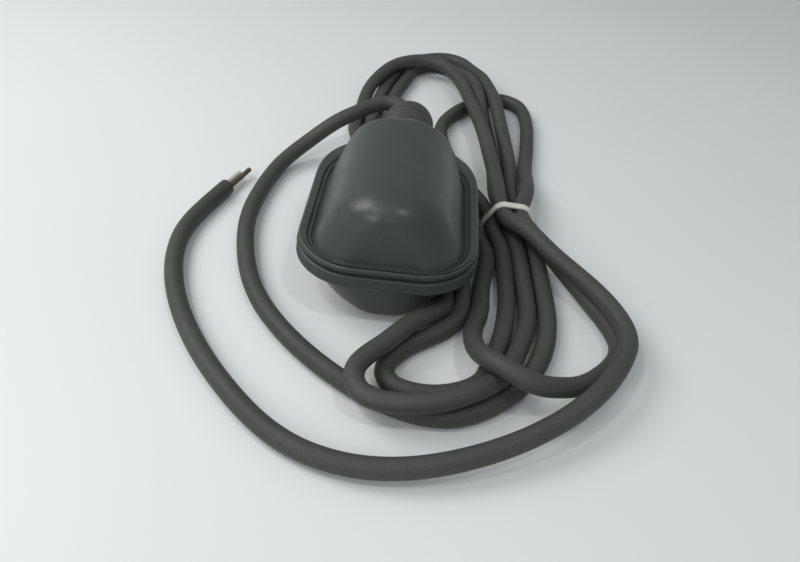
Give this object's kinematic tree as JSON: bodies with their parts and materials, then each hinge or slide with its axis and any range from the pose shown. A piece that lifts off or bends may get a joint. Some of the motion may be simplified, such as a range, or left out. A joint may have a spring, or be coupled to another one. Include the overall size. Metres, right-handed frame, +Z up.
{
  "type": "cable float switch",
  "caption": "Sealed two-part float with a tilting ball switch inside and a long rubber cable, for switching a pump by water level",
  "frame": {"origin": "middle of the lower shell's flat crest, below the middle of the flange, on the surface that the float lies on", "axes": "+Y runs along the float towards the cable gland, +X to the right seen from the round nose, +Z up through the two crests"},
  "size_m": [0.2437, 0.4208, 0.0652],
  "materials": {
    "shell_plastic": "moulded, satin",
    "seal_rubber": "moulded",
    "gland_rubber": "moulded",
    "sheath_rubber": "matt",
    "clamp_plastic": "moulded",
    "screw_steel": "zinc plated",
    "capsule_plastic": "moulded",
    "rocker_plastic": "moulded",
    "ball_steel": "polished",
    "switch_case_plastic": "moulded",
    "switch_cover_plastic": "moulded",
    "plunger_plastic": "moulded",
    "terminal_brass": "tinned",
    "sleeve_plastic": "shrunk on",
    "blue_core": "extruded",
    "brown_core": "extruded",
    "black_core": "extruded",
    "dark_core": "extruded",
    "pale_core": "extruded",
    "tie_nylon": "moulded"
  },
  "bodies": {
    "float_body": {"upper_shell": "shell_plastic", "lower_shell": "shell_plastic", "rim_seal": "seal_rubber", "cable_gland": "gland_rubber", "sheath_end": "sheath_rubber", "cable_clamp": "clamp_plastic", "clamp_screw_1": "screw_steel", "clamp_screw_2": "screw_steel", "capsule_base": "capsule_plastic", "capsule_lid": "capsule_plastic", "capsule_seal": "seal_rubber", "capsule_screw_1": "screw_steel", "capsule_screw_2": "screw_steel", "capsule_screw_3": "screw_steel", "capsule_screw_4": "screw_steel", "lead_grommet": "gland_rubber", "rocker_pin": "screw_steel", "microswitch_case": "switch_case_plastic", "microswitch_cover": "switch_cover_plastic", "microswitch_screw_1": "screw_steel", "microswitch_screw_2": "screw_steel", "snap_blade": "terminal_brass", "switch_terminal_1": "terminal_brass", "switch_terminal_2": "terminal_brass", "switch_terminal_3": "terminal_brass", "crimp_sleeve_1": "sleeve_plastic", "crimp_sleeve_2": "sleeve_plastic", "crimp_sleeve_3": "sleeve_plastic", "lead_brown": "brown_core", "lead_blue": "blue_core", "lead_black": "black_core", "cord": "sheath_rubber", "tail_dark": "dark_core", "tail_pale": "pale_core", "cable_tie": "tie_nylon"},
    "rocker": {"rocker": "rocker_plastic"},
    "ball": {"steel_ball": "ball_steel"},
    "plunger": {"plunger": "plunger_plastic"}
  },
  "joints": [
    {"name": "rocker_tilt", "type": "hinge", "parent": "float_body", "child": "rocker", "pos_m": [0, -0.012, 0.026], "axis": [1, 0, 0], "range_deg": [0, 12]},
    {"name": "ball_roll", "type": "slide", "parent": "rocker", "child": "ball", "axis": [0, -0.9945, 0.1045], "range_m": [0, 0.0244]},
    {"name": "plunger_travel", "type": "slide", "parent": "float_body", "child": "plunger", "axis": [0, 0, -1], "range_m": [0, 0.0018]}
  ],
  "couplings": [
    {"joint": "plunger_travel", "follows": "rocker_tilt", "m_per_rad": 0.00859}
  ]
}
